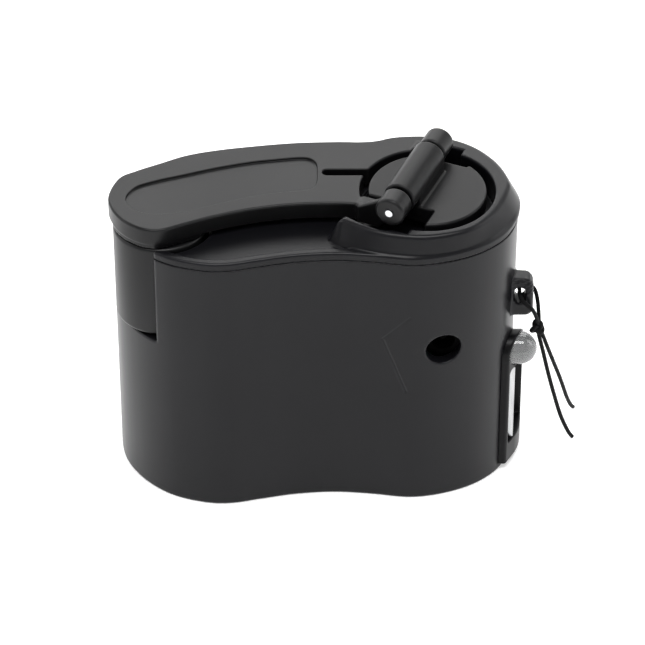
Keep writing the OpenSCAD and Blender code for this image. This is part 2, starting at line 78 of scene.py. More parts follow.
# ---------------------------------------------------------------- design numbers, as in the CAD
DECK, SEAM, WALL, FLOOR, COLLAR, NOTCH = 44.5, 43.25, 1.8, 2.0, 47.5, 28.2
ARM_Z = DECK + 0.3
HUB = np.array([15.0, 0.0])
ARM_DIR = math.radians(156.7)
UX, UY = math.cos(ARM_DIR), math.sin(ARM_DIR)
VX, VY = UY, -UX
HINGE_U, HINGE_Z, BARREL, PIN = 1.75, 49.7, 2.35, 0.75
DISC_R, GROOVE_R = 8.45, 9.65
GRIP = np.array([-23.0, -2.8])
GRIP_R, POCKET_R = 6.85, 7.6
LAMP_R, JACK_R = 2.45, 2.5
CORD_D = 0.6
POSTS = [(3.0, -6.9), (12.6, 10.0)]
PLATE_POSTS = [(-1.5, 9.0), (9.5, -6.2), (-24.4, 3.4)]
ROTOR_AXIS = HUB.copy()
for axis_gap, bearing in ((10.0, 163.3), (9.6, 190), (9.6, 190)):
    ROTOR_AXIS += axis_gap * np.array([math.cos(math.radians(bearing)), math.sin(math.radians(bearing))])
CAN_R = 8.6
LAMP_Y, LAMP_Z, LAMP_TIP = -3.0, 21.0, 28.85
JACK_X, JACK_Z = 17.3, 27.5
BODY_PTS = [
    (27.7, 0.9), (26.8, 5.6), (23.9, 10.1), (19.0, 12.9), (13.0, 13.9), (4, 14.0), (-5, 13.5),
    (-13.5, 12.5), (-20.3, 10.7), (-25.7, 7.8), (-29.0, 4.8), (-29.9, 1.5), (-29.0, -3.6),
    (-26.2, -8.1), (-22.1, -11.5), (-17.2, -13.2), (-13.3, -13.35), (-9.2, -12.45), (-4, -11.35),
    (1.9, -10.9), (7.2, -11.35), (12.8, -12.1), (17.6, -11.3), (22.1, -9.3), (25.5, -6.3),
    (27.2, -2.9),
]  # fmt: skip
ARM_PTS = [
    (-30.4, -0.9), (-30.0, -4.0), (-28.3, -7.0), (-25.6, -9.1), (-22.8, -9.5), (-19.5, -8.1),
    (-15.6, -6.4), (-10.2, -4.6), (-4.4, -3.5), (1.0, -3.2), (4.6, -3.4), (6.6, -4.3), (8.6, -1.5),
    (11.6, 4.0), (14.6, 8.2), (16.9, 10.2), (17.0, 12.3), (15.0, 13.1), (12.5, 13.1), (10.1, 12.8),
    (7.8, 12.0), (5.4, 11.75), (2, 11.8), (-4, 11.55), (-10, 10.75), (-15.4, 9.75), (-19.65, 8.5),
    (-23.5, 6.5), (-26.65, 4.8), (-29.1, 3.0),
]  # fmt: skip
COLLAR_BASE = [
    (1.3, -6.3), (2.6, -8.9), (6.7, -10.9), (12.9, -11.95), (17.6, -11.4), (22.1, -9.3),
    (25.5, -6.3), (27.6, -2.8), (28.35, 0.8), (28.05, 3.4), (27.0, 6.2), (25.3, 8.8),
    (22.9, 11.2), (19.8, 12.9), (16.6, 13.6), (12.5, 13.5), (13.0, 6.0), (8.0, 0.0),
]  # fmt: skip
COLLAR_TOP = [
    (2.9, -6.5), (3.1, -7.4), (8.0, -10.05), (12.9, -11.15), (16.7, -10.85), (20.9, -9.35),
    (23.75, -6.25), (25.5, -2.6), (26.55, 0.9), (26.45, 2.8), (25.5, 5.75), (24.0, 8.3),
    (21.9, 10.6), (19.15, 12.3), (16.3, 13.1), (12.5, 13.25), (13.0, 6.0), (8.0, 0.0),
]  # fmt: skip
PANEL_PTS = [
    (-27.9, -1.9), (-26.9, -4.2), (-24.4, -5.6), (-20.1, -5.2), (-15.9, -3.7), (-10.3, -1.6),
    (-6.0, -0.6), (-2.2, 0.0), (-0.9, 1.2), (-0.7, 4.6), (-1.0, 6.7), (-2.6, 7.8), (-6.4, 7.4),
    (-10.4, 6.7), (-15.3, 5.3), (-20.0, 3.6), (-23.6, 2.3), (-26.6, 0.7),
]  # fmt: skip
CORD_PTS = [
    (38.0, 8.2, 0.38), (37.6, 7.4, 1.4), (36.8, 5.8, 4.2), (35.5, 3.3, 9.8), (34.2, 1.1, 14.8),
    (33.0, -0.9, 19.4), (32.0, -2.0, 23.0), (31.4, -2.5, 25.0), (31.0, -3.5, 27.0),
    (30.3, -4.2, 29.0), (29.0, -4.25, 30.4), (28.5, -3.4, 30.95), (28.5, -2.2, 31.0),
    (28.5, -1.0, 31.0), (28.9, -0.25, 30.9), (29.9, -0.15, 30.5), (30.8, -0.5, 29.8),
    (31.2, -1.2, 28.6), (31.4, -1.9, 27.0), (31.5, -2.4, 25.2), (31.5, -2.3, 23.2),
    (32.3, -1.9, 19.4), (33.3, -1.3, 14.6), (34.3, -0.6, 10.2), (35.5, 0.2, 5.4), (36.8, 0.9, 1.7),
    (37.5, 1.2, 0.38),
]  # fmt: skip


def cr(a, b, c, d, s):
    """Point a share s of the way from b to c, on a smooth curve through all four."""
    return 0.5 * (
        2 * b + (c - a) * s + (2 * a - 5 * b + 4 * c - d) * s * s + (3 * b - a - 3 * c + d) * s**3
    )


def closed(q, k):
    """Closed smooth curve through the points q, k steps a span."""
    q = np.asarray(q, float)
    n = len(q)
    return np.array(
        [
            cr(q[i - 1], q[i], q[(i + 1) % n], q[(i + 2) % n], j / k)
            for i in range(n)
            for j in range(k)
        ]
    )


def opened(q, k):
    """Open smooth curve through the points q, k steps a span."""
    q = np.asarray(q, float)
    n = len(q)
    pts = [
        cr(q[max(i - 1, 0)], q[i], q[i + 1], q[min(i + 2, n - 1)], j / k)
        for i in range(n - 1)
        for j in range(k)
    ]
    return np.array(pts + [q[-1]])


# ---------------------------------------------------------------- materials
def material(name):
    m = bpy.data.materials.new(name)
    m.use_nodes = True
    t = m.node_tree
    for n in list(t.nodes):
        t.nodes.remove(n)
    out = t.nodes.new("ShaderNodeOutputMaterial")
    bsdf = t.nodes.new("ShaderNodeBsdfPrincipled")
    t.links.new(bsdf.outputs[0], out.inputs[0])
    return m, t, bsdf


def node(t, kind, **values):
    """A shader node, with its properties or its inputs set by name."""
    n = t.nodes.new(kind)
    for k, v in values.items():
        if hasattr(n, k):
            setattr(n, k, v)
        else:
            n.inputs[k.replace("_", " ")].default_value = v
    return n


def ramp(t, source, stops):
    """A colour ramp on the source: stops are (position, grey or colour)."""
    r = t.nodes.new("ShaderNodeValToRGB")
    while len(r.color_ramp.elements) > 1:
        r.color_ramp.elements.remove(r.color_ramp.elements[-1])
    for i, (at, value) in enumerate(stops):
        e = r.color_ramp.elements[0] if i == 0 else r.color_ramp.elements.new(at)
        e.position = at
        v = value if isinstance(value, (tuple, list)) else (value,) * 3
        e.color = (*v[:3], 1.0)
    t.links.new(source, r.inputs[0])
    return r.outputs[0]


def textured(name, colours, rough, metallic, cloud, grain, bump, ior=1.46, stretch=(1, 1, 1), shine=0.5):
    """A material whose colour and gloss wander slowly, with a fine grain in its surface."""
    m, t, b = material(name)
    coord = t.nodes.new("ShaderNodeTexCoord")
    mapping = node(t, "ShaderNodeMapping")
    mapping.inputs["Scale"].default_value = stretch
    t.links.new(coord.outputs["Object"], mapping.inputs[0])
    slow = node(t, "ShaderNodeTexNoise", Scale=cloud, Detail=3.0, Roughness=0.55)
    fine = node(t, "ShaderNodeTexNoise", Scale=grain, Detail=2.0, Roughness=0.6)
    t.links.new(mapping.outputs[0], slow.inputs["Vector"])
    t.links.new(mapping.outputs[0], fine.inputs["Vector"])
    t.links.new(ramp(t, slow.outputs[0], [(0.3, colours[0]), (0.7, colours[1])]), b.inputs["Base Color"])
    mixed = node(t, "ShaderNodeMath", operation="ADD")
    t.links.new(slow.outputs[0], mixed.inputs[0])
    t.links.new(fine.outputs[0], mixed.inputs[1])
    half = node(t, "ShaderNodeMath", operation="MULTIPLY")
    half.inputs[1].default_value = 0.5
    t.links.new(mixed.outputs[0], half.inputs[0])
    t.links.new(ramp(t, half.outputs[0], [(0.32, rough[0]), (0.68, rough[1])]), b.inputs["Roughness"])
    lift = node(t, "ShaderNodeBump", Strength=bump)
    lift.inputs["Distance"].default_value = 0.00002
    t.links.new(fine.outputs[0], lift.inputs["Height"])
    t.links.new(lift.outputs[0], b.inputs["Normal"])
    b.inputs["Metallic"].default_value = metallic
    b.inputs["IOR"].default_value = ior
    b.inputs["Specular IOR Level"].default_value = shine
    return m


def moulded(name, dark, light, rough, shine):
    """Moulded plastic: fine grain, faint cloudy gloss, convex edges a little smoother and painted paler as a
    painted highlight.
    """
    m, t, b = material(name)
    coord = t.nodes.new("ShaderNodeTexCoord")
    cloud = node(t, "ShaderNodeTexNoise", Scale=45.0, Detail=4.0, Roughness=0.6)
    fine = node(t, "ShaderNodeTexNoise", Scale=2400.0, Detail=3.0, Roughness=0.65)
    specks = node(t, "ShaderNodeTexVoronoi", Scale=900.0)
    for n in (cloud, fine, specks):
        t.links.new(coord.outputs["Object"], n.inputs["Vector"])
    edge = t.nodes.new("ShaderNodeAttribute")
    edge.attribute_name = "edge"
    # convex edges under the cloud: mask for a smoother gloss and a painted edge highlight
    edge_gloss_and_highlight = node(t, "ShaderNodeMath", operation="MULTIPLY")
    t.links.new(edge.outputs["Fac"], edge_gloss_and_highlight.inputs[0])
    t.links.new(ramp(t, cloud.outputs[0], [(0.35, 0.25), (0.65, 1.0)]), edge_gloss_and_highlight.inputs[1])
    mix = node(t, "ShaderNodeMix", data_type="RGBA")
    t.links.new(edge_gloss_and_highlight.outputs[0], mix.inputs[0])
    t.links.new(ramp(t, cloud.outputs[0], [(0.3, dark), (0.7, light)]), mix.inputs[6])
    # paler colour on convex edges: a painted highlight
    mix.inputs[7].default_value = tuple(c * 1.55 + 0.0015 for c in light) + (1.0,)
    t.links.new(mix.outputs[2], b.inputs["Base Color"])
    base = ramp(t, cloud.outputs[0], [(0.3, rough[0]), (0.7, rough[1])])
    less = node(t, "ShaderNodeMath", operation="MULTIPLY_ADD")
    less.inputs[1].default_value = -0.05
    t.links.new(edge_gloss_and_highlight.outputs[0], less.inputs[0])
    t.links.new(base, less.inputs[2])
    t.links.new(less.outputs[0], b.inputs["Roughness"])
    tall = node(t, "ShaderNodeMath", operation="MULTIPLY_ADD")
    tall.inputs[1].default_value = 0.35
    t.links.new(specks.outputs["Distance"], tall.inputs[0])
    t.links.new(fine.outputs[0], tall.inputs[2])
    lift = node(t, "ShaderNodeBump", Strength=0.25)
    lift.inputs["Distance"].default_value = 0.00001
    t.links.new(tall.outputs[0], lift.inputs["Height"])
    t.links.new(lift.outputs[0], b.inputs["Normal"])
    b.inputs["IOR"].default_value = 1.41
    b.inputs["Specular IOR Level"].default_value = shine
    return m


# moulded black plastics: two colours, roughness range, shine
MOULDED = {
    "case_plastic": ((0.0030, 0.0030, 0.0040), (0.0044, 0.0044, 0.0056), (0.28, 0.35), 0.30),
    "crank_plastic": ((0.0036, 0.0036, 0.0040), (0.0052, 0.0052, 0.0056), (0.30, 0.38), 0.33),
    "hub_plastic": ((0.0034, 0.0034, 0.0038), (0.0048, 0.0048, 0.0052), (0.30, 0.38), 0.27),
    # faceplate trim: partly its own darker black, partly painted shade for the shadowed strip at the socket
    # opening
    "trim_plastic": ((0.0022, 0.0022, 0.0026), (0.0032, 0.0032, 0.0036), (0.28, 0.36), 0.17),
}
# metals: two colours, roughness range, scale of the clouds and of the grain, bump, IOR, stretch
METALS = {
    "bright_steel": (((0.60, 0.61, 0.63), (0.70, 0.71, 0.73)), (0.16, 0.28), 300, 5000, 0.15, 2.5, (1, 1, 1)),
    "can_steel": (((0.50, 0.50, 0.51), (0.62, 0.62, 0.63)), (0.28, 0.4), 160, 4200, 0.2, 2.5, (1, 1, 6)),
    "core_steel": (((0.26, 0.26, 0.27), (0.36, 0.36, 0.37)), (0.45, 0.6), 90, 1500, 0.4, 2.5, (1, 1, 14)),
    "copper_wire": (((0.52, 0.20, 0.07), (0.70, 0.30, 0.11)), (0.2, 0.32), 200, 2500, 0.5, 1.6, (1, 1, 9)),
    "bronze": (((0.48, 0.31, 0.12), (0.62, 0.42, 0.18)), (0.35, 0.5), 260, 3200, 0.3, 1.6, (1, 1, 1)),
    "socket_steel": (((0.44, 0.445, 0.45), (0.58, 0.585, 0.59)), (0.14, 0.26), 240, 4200, 0.12, 2.6, (8, 1, 1)),
    "contact_gold": (((0.78, 0.52, 0.16), (0.92, 0.66, 0.26)), (0.18, 0.3), 420, 4800, 0.1, 1.5, (1, 1, 1)),
}
# the rest: two colours, roughness range, metal, scale of the clouds and of the grain, bump, IOR
OTHERS = {
    "white_nylon": (((0.74, 0.73, 0.69), (0.84, 0.83, 0.79)), (0.42, 0.55), 0.0, 120, 2200, 0.15, 1.53),
    "grey_plate": (((0.030, 0.030, 0.032), (0.042, 0.042, 0.045)), (0.40, 0.5), 0.0, 90, 2200, 0.2),
    "magnet_grey": (((0.05, 0.05, 0.052), (0.08, 0.08, 0.083)), (0.5, 0.62), 0.3, 130, 2400, 0.3),
    "board_green": (((0.010, 0.080, 0.030), (0.016, 0.12, 0.045)), (0.22, 0.3), 0.0, 220, 1600, 0.2, 1.5),
    "socket_white": (((0.70, 0.70, 0.67), (0.80, 0.80, 0.77)), (0.35, 0.45), 0.0, 160, 2600, 0.15, 1.5),
    "chip_black": (((0.010, 0.010, 0.011), (0.017, 0.017, 0.018)), (0.4, 0.5), 0.0, 180, 2400, 0.2),
    "sleeve_blue": (((0.020, 0.035, 0.14), (0.030, 0.052, 0.19)), (0.25, 0.35), 0.0, 120, 2400, 0.1),
    "wire_red": (((0.30, 0.012, 0.010), (0.42, 0.020, 0.014)), (0.3, 0.4), 0.0, 120, 2400, 0.1),
}
M = {name: moulded(name, *v) for name, v in MOULDED.items()}
for name, (colours, rough, *rest) in METALS.items():
    M[name] = textured(name, colours, rough, 1.0, *rest)
for name, v in OTHERS.items():
    M[name] = textured(name, *v)
# the power socket's colour, far darker than its black plastic: painted shade inside the socket hole
JACK_HOLE_SHADE = ((0.0008, 0.0008, 0.0008), (0.0016, 0.0016, 0.0016))
M["jack_black"] = textured("jack_black", JACK_HOLE_SHADE, (0.6, 0.75), 0.0, 140, 2800, 0.25, shine=0.06)


def cord_material():
    """Braided nylon: two sets of ribs crossing round the cord, a dull sheen, a few paler fibres."""
    m, t, b = material("black_cord")
    coord = t.nodes.new("ShaderNodeTexCoord")
    one = node(t, "ShaderNodeTexWave", bands_direction="DIAGONAL", Scale=900.0, Distortion=1.5)
    two = node(t, "ShaderNodeTexWave", bands_direction="Z", Scale=1500.0, Distortion=2.0)
    fibre = node(t, "ShaderNodeTexNoise", Scale=1800.0, Detail=3.0)
    for n in (one, two, fibre):
        t.links.new(coord.outputs["Object"], n.inputs["Vector"])
    both = node(t, "ShaderNodeMath", operation="MULTIPLY")
    t.links.new(one.outputs["Fac"], both.inputs[0])
    t.links.new(two.outputs["Fac"], both.inputs[1])
    dye = [(0.35, (0.0012, 0.0012, 0.0015)), (0.7, (0.0036, 0.0036, 0.0040))]
    t.links.new(ramp(t, fibre.outputs[0], dye), b.inputs["Base Color"])
    t.links.new(ramp(t, fibre.outputs[0], [(0.3, 0.55), (0.7, 0.75)]), b.inputs["Roughness"])
    lift = node(t, "ShaderNodeBump", Strength=0.6)
    lift.inputs["Distance"].default_value = 0.00004
    t.links.new(both.outputs[0], lift.inputs["Height"])
    t.links.new(lift.outputs[0], b.inputs["Normal"])
    b.inputs["Sheen Weight"].default_value = 0.015
    b.inputs["Sheen Roughness"].default_value = 0.4
    b.inputs["Specular IOR Level"].default_value = 0.1
    return m


M["black_cord"] = cord_material()

# ---------------------------------------------------------------- the cord, first
line = to_frame(opened(CORD_PTS, 6))
curve = bpy.data.curves.new("wrist_cord", "CURVE")
curve.dimensions = "3D"
curve.bevel_depth = CORD_D / 2 * 0.001
curve.bevel_resolution = 4
curve.use_fill_caps = True
spline = curve.splines.new("POLY")
spline.points.add(len(line) - 1)
for p, q in zip(spline.points, line):
    p.co = (*q, 1.0)
cord = bpy.data.objects.new("wrist_cord", curve)
scene.collection.objects.link(cord)
curve.materials.append(M["black_cord"])
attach(cord, "case")
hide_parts("lanyard_cord")


def finish_piece(o, body, slot, *replaced):
    """Rides a piece on its body and hides the CAD nodes that it stands for; the slot is not used."""
    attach(o, body)
    if replaced:
        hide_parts(*replaced)


def tube(name, pts, radius, mat, sides=14):
    """A closed ring of cord through the points, as a mesh."""
    pts = np.asarray(pts, float)
    n = len(pts)
    tan = np.roll(pts, -1, 0) - np.roll(pts, 1, 0)
    tan /= np.linalg.norm(tan, axis=1)[:, None]
    u = np.cross(tan[0], [0, 0, 1.0])
    u /= np.linalg.norm(u)
    frames = []
    for i in range(n):
        u = u - (u @ tan[i]) * tan[i]
        u /= np.linalg.norm(u)
        frames.append(u)
    # spread the leftover twist evenly, so the last ring meets the first
    e = frames[-1] - (frames[-1] @ tan[0]) * tan[0]
    e /= np.linalg.norm(e)
    left = math.atan2(np.cross(frames[0], e) @ tan[0], frames[0] @ e)
    verts = []
    for i in range(n):
        a = -left * i / n
        u1 = frames[i] * math.cos(a) + np.cross(tan[i], frames[i]) * math.sin(a)
        w1 = np.cross(tan[i], u1)
        for k in range(sides):
            c = 2 * math.pi * k / sides
            verts.append(pts[i] + radius * (math.cos(c) * u1 + math.sin(c) * w1))
    faces = [
        (
            i * sides + k,
            i * sides + (k + 1) % sides,
            ((i + 1) % n) * sides + (k + 1) % sides,
            ((i + 1) % n) * sides + k,
        )
        for i in range(n)
        for k in range(sides)
    ]
    return mesh_object(name, to_frame(np.array(verts)), faces, mat)


def mesh_object(name, verts, faces, mat):
    me = bpy.data.meshes.new(name)
    me.from_pydata([tuple(v) for v in verts], [], [tuple(f) for f in faces])
    me.validate()
    bm = bmesh.new()
    bm.from_mesh(me)
    bmesh.ops.recalc_face_normals(bm, faces=bm.faces)
    bm.to_mesh(me)
    bm.free()
    me.polygons.foreach_set("use_smooth", [True] * len(me.polygons))
    me.materials.append(mat)
    o = bpy.data.objects.new(name, me)
    scene.collection.objects.link(o)
    return o


# ---------------------------------------------------------------- distance fields
def rmax(a, b, r):
    """Where both hold, with the outside corner rounded to radius r."""
    return np.minimum(np.maximum(a, b), -r) + np.hypot(np.maximum(a + r, 0), np.maximum(b + r, 0))


def rmin(a, b, r):
    """Where either holds, with the inside corner filled to radius r."""
    return -rmax(-a, -b, r)


def cut(a, b, r):
    """What is left of a outside b, with the edge rounded to radius r."""
    return rmax(a, -b, r)


def slab(q, lo, hi):
    return np.maximum(lo - q, q - hi)


def disc(x, y, c, r):
    return np.hypot(x - c[0], y - c[1]) - r


def box3(x, y, z, lo, hi, r):
    return rmax(rmax(slab(x, lo[0], hi[0]), slab(y, lo[1], hi[1]), r), slab(z, lo[2], hi[2]), r)


def convex(a, b, pts, r):
    """Rounded convex polygon in the plane (a, b), points anticlockwise."""
    d = None
    for i, p in enumerate(pts):
        q = pts[(i + 1) % len(pts)]
        n = np.array([q[1] - p[1], p[0] - q[0]])
        n = n / np.linalg.norm(n)
        h = (a - p[0]) * n[0] + (b - p[1]) * n[1]
        d = h if d is None else rmax(d, h, r)
    return d


class Plan:
    """Signed distance to a closed plan curve, kept on a grid and read back smoothly."""

    def __init__(self, pts, k=14, step=0.2, pad=5.0):
        q = closed(pts, k)
        self.lo, self.step = q.min(0) - pad, step
        n = np.ceil((q.max(0) + pad - self.lo) / step).astype(int) + 1
        gx = (self.lo[0] + step * np.arange(n[0]))[:, None]
        gy = (self.lo[1] + step * np.arange(n[1]))[None, :]
        best = np.full((n[0], n[1]), 1e9)
        inside = np.zeros((n[0], n[1]), bool)
        for a, b in zip(q, np.roll(q, -1, 0)):
            e = b - a
            wx, wy = gx - a[0], gy - a[1]
            s = np.clip((wx * e[0] + wy * e[1]) / (e @ e), 0, 1)
            best = np.minimum(best, (wx - s * e[0]) ** 2 + (wy - s * e[1]) ** 2)
            if a[1] != b[1]:
                across = ((a[1] > gy) != (b[1] > gy)) & (gx < e[0] * (gy - a[1]) / (b[1] - a[1]) + a[0])
                inside ^= across
        self.g = np.sqrt(best) * np.where(inside, -1, 1)

    def __call__(self, x, y):
        n = self.g.shape
        fx = np.clip((x - self.lo[0]) / self.step, 1.0, n[0] - 2.001)
        fy = np.clip((y - self.lo[1]) / self.step, 1.0, n[1] - 2.001)
        fx, fy = np.broadcast_arrays(fx, fy)
        ix, iy = np.floor(fx).astype(int), np.floor(fy).astype(int)
        sx, sy = fx - ix, fy - iy

        def w(s):
            return (
                0.5 * (-s + 2 * s**2 - s**3),
                0.5 * (2 - 5 * s**2 + 3 * s**3),
                0.5 * (s + 4 * s**2 - 3 * s**3),
                0.5 * (-(s**2) + s**3),
            )

        wx, wy = w(sx), w(sy)
        total = 0.0
        for i in range(4):
            row = 0.0
            for j in range(4):
                near = self.g[np.minimum(ix + i - 1, n[0] - 1), np.minimum(iy + j - 1, n[1] - 1)]
                row = row + wy[j] * near
            total = total + wx[i] * row
        return total


body_curve, arm_plan, panel_plan = Plan(BODY_PTS), Plan(ARM_PTS), Plan(PANEL_PTS)
collar_low, collar_high = Plan(COLLAR_BASE), Plan(COLLAR_TOP)


def body_plan(x, y):
    return body_curve(x, y) - 0.2


def spread(*parts):
    """Grid lines: (start, step) pairs, and the end."""
    end = parts[-1]
    out = []
    for i, (start, step) in enumerate(parts[:-1]):
        stop = parts[i + 1][0] if i + 2 < len(parts) else end
        n = max(1, int(round((stop - start) / step)))
        out.append(start + (stop - start) * np.arange(n) / n)
    return np.concatenate(out + [[end]])


def nets(d, xs, ys, zs):
    """Quads over the zero surface of the distances d on a grid."""
    s = d < 0
    c = np.zeros(tuple(k - 1 for k in s.shape), np.int8)
    for i in (0, 1):
        for j in (0, 1):
            for k in (0, 1):
                c += s[i : s.shape[0] - 1 + i, j : s.shape[1] - 1 + j, k : s.shape[2] - 1 + k]
    mixed = (c > 0) & (c < 8)
    at = np.argwhere(mixed)
    ids = np.full(c.shape, -1, np.int64)
    ids[mixed] = np.arange(len(at))
    axes = (xs, ys, zs)
    acc, count = np.zeros((len(at), 3)), np.zeros(len(at))
    for a in range(3):
        o1, o2 = [k for k in range(3) if k != a]
        for i in (0, 1):
            for j in (0, 1):
                p = at.copy()
                p[:, o1] += i
                p[:, o2] += j
                q = p.copy()
                q[:, a] += 1
                fa, fb = d[tuple(p.T)], d[tuple(q.T)]
                on = (fa < 0) != (fb < 0)
                t = np.where(on, fa / np.where(on, fa - fb, 1.0), 0.0)
                pos = np.stack([axes[k][p[:, k]] for k in range(3)], 1)
                pos[:, a] += t * (axes[a][q[:, a]] - axes[a][p[:, a]])
                acc += pos * on[:, None]
                count += on
    verts = acc / count[:, None]
    faces = []
    for a in range(3):
        o1, o2 = [(1, 2), (2, 0), (0, 1)][a]
        lo = [slice(None)] * 3
        hi = [slice(None)] * 3
        lo[a], hi[a] = slice(0, -1), slice(1, None)
        sa, sb = s[tuple(lo)], s[tuple(hi)]
        e = np.argwhere(sa != sb)
        e = e[(e[:, o1] > 0) & (e[:, o2] > 0) & (e[:, o1] < s.shape[o1] - 1) & (e[:, o2] < s.shape[o2] - 1)]
        first = sa[tuple(e.T)]
        ring = []
        for i, j in ((-1, -1), (0, -1), (0, 0), (-1, 0)):
            p = e.copy()
            p[:, o1] += i
            p[:, o2] += j
            ring.append(ids[tuple(p.T)])
        ring = np.stack(ring, 1)
        ring[~first] = ring[~first][:, ::-1]
        faces.append(ring)
    return verts, np.concatenate(faces)


def slopes(f, v, h):
    """Gradient and curvature of f at the points v."""
    x, y, z = v.T
    f0 = f(x, y, z)
    g = np.empty_like(v)
    bend = -6.0 * f0
    for a in range(3):
        step = [0.0, 0.0, 0.0]
        step[a] = h
        p = f(x + step[0], y + step[1], z + step[2])
        m = f(x - step[0], y - step[1], z - step[2])
        g[:, a] = (p - m) / (2 * h)
        bend = bend + p + m
    return f0, g, bend / (h * h)


def settle(f, v, reach, rounds=3, h=0.03):
    """Moves points onto the zero surface of f."""
    for _ in range(rounds):
        f0, g, _ = slopes(f, v, h)
        size = np.maximum((g * g).sum(1), 0.15)
        move = -g * (f0 / size)[:, None]
        length = np.linalg.norm(move, axis=1)
        move *= np.minimum(1.0, reach / np.maximum(length, 1e-9))[:, None]
        v = v + move
    return v


def shaped(name, f, xs, ys, zs, mat, finer=None, reach=0.12, soft=0.05):
    """A mesh piece over the zero surface of f. Each finer(v) marks points where faces are split in four."""
    d = np.asarray(f(xs[:, None, None], ys[None, :, None], zs[None, None, :]), float)
    d = np.broadcast_to(d, (len(xs), len(ys), len(zs)))
    verts, quads = nets(d, xs, ys, zs)
    verts = settle(f, verts, reach)
    me = bpy.data.meshes.new(name)
    me.from_pydata(verts, [], quads)
    bm = bmesh.new()
    bm.from_mesh(me)
    for want in finer or []:
        co = np.array([v.co[:] for v in bm.verts])
        mark = want(co)
        edges = [e for e in bm.edges if mark[e.verts[0].index] and mark[e.verts[1].index]]
        bmesh.ops.subdivide_edges(bm, edges=edges, cuts=1, use_grid_fill=True)
        bm.verts.index_update()
        co = settle(f, np.array([v.co[:] for v in bm.verts]), reach, 2)
        for v, q in zip(bm.verts, co):
            v.co = q
    bmesh.ops.dissolve_degenerate(bm, dist=0.004, edges=bm.edges)
    bm.verts.index_update()
    bm.to_mesh(me)
    bm.free()
    co = np.empty(len(me.vertices) * 3)
    me.vertices.foreach_get("co", co)
    co = co.reshape(-1, 3)
    _, g, bend = slopes(f, co, soft)
    normal = g / np.maximum(np.linalg.norm(g, axis=1), 1e-9)[:, None]
    # curvature on convex edges, used by the moulded materials for a smoother gloss and a painted edge highlight
    edge = me.attributes.new("edge", "FLOAT", "POINT")
    edge.data.foreach_set("value", np.clip((bend - 0.6) / 2.2, 0, 1).astype(np.float32))
    me.vertices.foreach_set("co", to_frame(co).ravel())
    me.polygons.foreach_set("use_smooth", np.ones(len(me.polygons), bool))
    me.normals_split_custom_set_from_vertices(normal)
    me.materials.append(mat)
    me.update()
    o = bpy.data.objects.new(name, me)
    scene.collection.objects.link(o)
    return o


def uv(x, y):
    """Along the folded arm, and along the hinge pin."""
    return (x - HUB[0]) * UX + (y - HUB[1]) * UY, (x - HUB[0]) * VX + (y - HUB[1]) * VY


# ---------------------------------------------------------------- case
CHEVRON = [((8.6, 29.6), (12.0, 20.2)), ((8.6, 29.6), (12.4, 33.8))]


def chevron_distance(x, z):
    d = 1e9
    for a, b in CHEVRON:
        e = np.array(b) - np.array(a)
        s = np.clip(((x - a[0]) * e[0] + (z - a[1]) * e[1]) / (e @ e), 0, 1)
        d = np.minimum(d, np.hypot(x - a[0] - s * e[0], z - a[1] - s * e[1]))
    return d


def lug(x, y, z):
    d = rmax(rmax(x - 30.5, z - 33.9, 1.5), 27.2 - z, 1.2)
    d = rmax(d, slab(y, -3.6, -0.8), 0.6)
    wound = np.clip((z - 31.0) / 0.5, 0, 1)
    d = d + 0.1 * wound * np.sin((z + 0.18 * x) * 2 * math.pi / 0.72) ** 2
    d = np.maximum(d, 25.4 - x)
    zc = np.clip(z, 30.3, 31.5)
    eye = np.hypot(x - 28.5, z - zc) - 0.8
    return cut(d, eye, 0.35)


def grip_room(x, y):
    plan = np.minimum(disc(x, y, GRIP, POCKET_R), disc(x, y, GRIP + 2.5 * np.array([UX, UY]), POCKET_R - 0.2))
    return rmin(plan, x + 23.8, 0.05)


def notch(x, y, z, r):
    return rmax(grip_room(x, y), NOTCH - z, r)


def body_field(x, y, z):
    d = body_plan(x, y)
    solid = rmax(rmax(d - np.maximum(z - 22, 0) * 0.006, -z, 0.35), z - SEAM, 0.09)
    groove = 0.15 * np.exp(-((chevron_distance(x, z) / 0.2) ** 2)) * np.clip((37.0 - z) / 12.0, 0, 1)
    solid = solid + np.where(y < -8, groove, 0.0)
    hollow = rmax(d + WALL, FLOOR - z, 0.6)
    shell = cut(solid, hollow, 0.2)
    block = np.maximum(rmin(disc(x, y, GRIP, POCKET_R + 1.2), x + 22.6, 0.2), NOTCH - 1.2 - z)
    shell = np.minimum(shell, np.maximum(block, solid))
    for c in POSTS:
        shell = np.minimum(shell, np.maximum(disc(x, y, c, 2.6), slab(z, 1, 21.8)))
    for c in PLATE_POSTS:
        shell = np.minimum(shell, np.maximum(disc(x, y, c, 1.9), slab(z, 1, 20.4)))
    seat = cut(disc(x, y, ROTOR_AXIS, CAN_R + 0.7), disc(x, y, ROTOR_AXIS, CAN_R + 0.05), 0.1)
    shell = np.minimum(shell, np.maximum(seat, slab(z, 1, 5.5)))
    shell = cut(shell, notch(x, y, z, 0.35), 0.3)
    for c in POSTS:
        shell = cut(shell, np.maximum(disc(x, y, c, 1.7), z - 18), 0.3)
    usb = rmax(rmax(slab(y, -4.25, 1.95), slab(z, 4.65, 18.25), 0.4), 24 - x, 0.1)
    shell = cut(shell, usb, 0.15)
    jack = np.maximum(np.hypot(x - JACK_X, z - JACK_Z) - JACK_R, slab(y, -20, -7))
    shell = cut(shell, jack, 0.22)
    lamp = np.maximum(np.hypot(y - LAMP_Y, z - LAMP_Z) - LAMP_R - 0.05, 23 - x)
    shell = cut(shell, lamp, 0.1)
    return rmin(shell, lug(x, y, z), 0.35)


